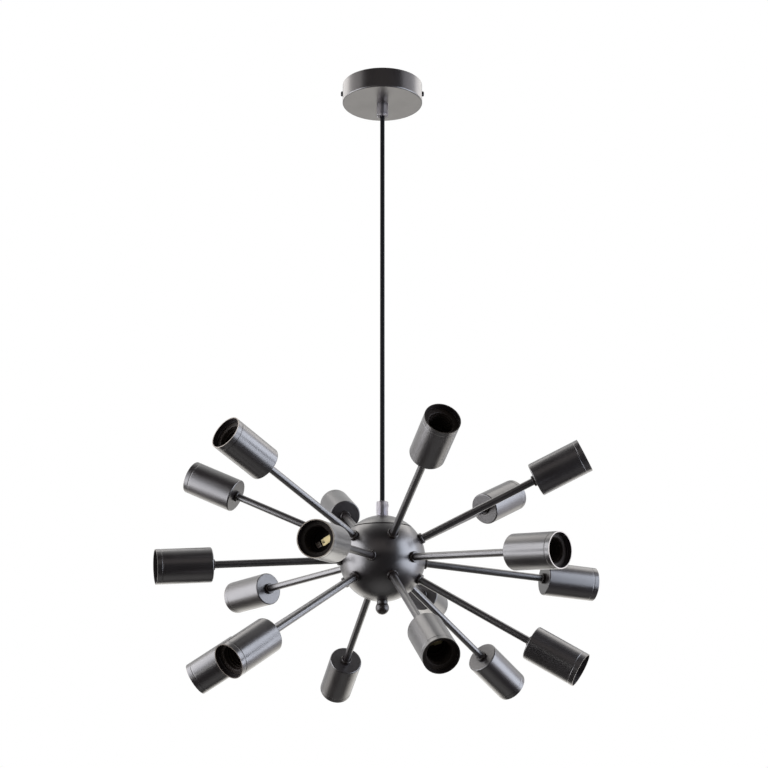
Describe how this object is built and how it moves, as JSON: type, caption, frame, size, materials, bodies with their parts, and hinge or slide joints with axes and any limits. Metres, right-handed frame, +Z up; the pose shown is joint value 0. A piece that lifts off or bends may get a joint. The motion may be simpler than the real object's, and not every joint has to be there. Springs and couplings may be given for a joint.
{
  "type": "sputnik chandelier",
  "caption": "Hanging lamp with metal lamp cups on straight arms in three rings round a hollow ball, on one straight cable under a round ceiling canopy.",
  "frame": {"origin": "centre of the ceiling face, where the bracket's top meets the ceiling", "axes": "+Z up into the ceiling, so the lamp hangs towards -Z; +X along the bracket, through the two side screws"},
  "size_m": [0.5148, 0.5156, 0.7489],
  "materials": {
    "black_paint": "satin black powder coat on steel",
    "black_gloss": "semi-gloss black plated steel",
    "black_screws": "black zinc-plated steel",
    "zinc_steel": "bright zinc-plated steel",
    "clear_plastic": "clear polycarbonate",
    "white_nylon": "matt moulded nylon",
    "black_cable": "black PVC sheath",
    "core_insulation": "smooth insulation",
    "black_moulding": "matt black heat-proof moulding",
    "brass_contact": "bare stamped brass"
  },
  "bodies": {
    "ceiling_set": {"ceiling_bracket": "zinc_steel", "canopy": "black_paint", "side_screws": "black_screws", "upper_cord_grip": "clear_plastic", "upper_grip_nut": "zinc_steel", "upper_grip_screw": "clear_plastic", "terminal_block": "white_nylon", "cable_ceiling_end": "black_cable", "ceiling_cores": "core_insulation"},
    "cable": {"cable_drop": "black_cable"},
    "cable_end": {"cable_hub_end": "black_cable"},
    "lamp_head": {"lower_cord_grip": "clear_plastic", "lower_grip_screw": "clear_plastic", "hub_cap": "black_paint", "hub_bowl": "black_paint", "centre_rod": "zinc_steel", "hub_nuts": "zinc_steel", "finial": "black_gloss", "hub_connector": "white_nylon", "hub_leads": "core_insulation", "arm_collars": "black_gloss", "arm_locknuts": "zinc_steel", "lampholder_inserts": "black_moulding", "lamp_contacts": "brass_contact", "arm_tube_01": "black_paint", "arm_tube_02": "black_paint", "arm_tube_03": "black_paint", "arm_tube_04": "black_paint", "arm_tube_05": "black_paint", "arm_tube_06": "black_paint", "arm_tube_07": "black_paint", "arm_tube_08": "black_paint", "arm_tube_09": "black_paint", "arm_tube_10": "black_paint", "arm_tube_11": "black_paint", "arm_tube_12": "black_paint", "arm_tube_13": "black_paint", "arm_tube_14": "black_paint", "arm_tube_15": "black_paint", "arm_tube_16": "black_paint", "arm_tube_17": "black_paint", "arm_tube_18": "black_paint", "lamp_cup_01": "black_paint", "lamp_cup_02": "black_paint", "lamp_cup_03": "black_paint", "lamp_cup_04": "black_paint", "lamp_cup_05": "black_paint", "lamp_cup_06": "black_paint", "lamp_cup_07": "black_paint", "lamp_cup_08": "black_paint", "lamp_cup_09": "black_paint", "lamp_cup_10": "black_paint", "lamp_cup_11": "black_paint", "lamp_cup_12": "black_paint", "lamp_cup_13": "black_paint", "lamp_cup_14": "black_paint", "lamp_cup_15": "black_paint", "lamp_cup_16": "black_paint", "lamp_cup_17": "black_paint", "lamp_cup_18": "black_paint"}
  },
  "joints": [
    {"name": "cable_swing", "type": "hinge", "parent": "ceiling_set", "child": "cable", "pos_m": [0, 0, -0.042], "axis": [0, 1, 0], "range_deg": [-25, 25]},
    {"name": "head_tilt", "type": "hinge", "parent": "cable", "child": "cable_end", "pos_m": [0, 0, -0.5325], "axis": [1, 0, 0], "range_deg": [-25, 25]},
    {"name": "head_turn", "type": "hinge", "parent": "cable_end", "child": "lamp_head", "pos_m": [0, 0, -0.5325], "axis": [0, 0, 1], "range_deg": [-180, 180]}
  ]
}
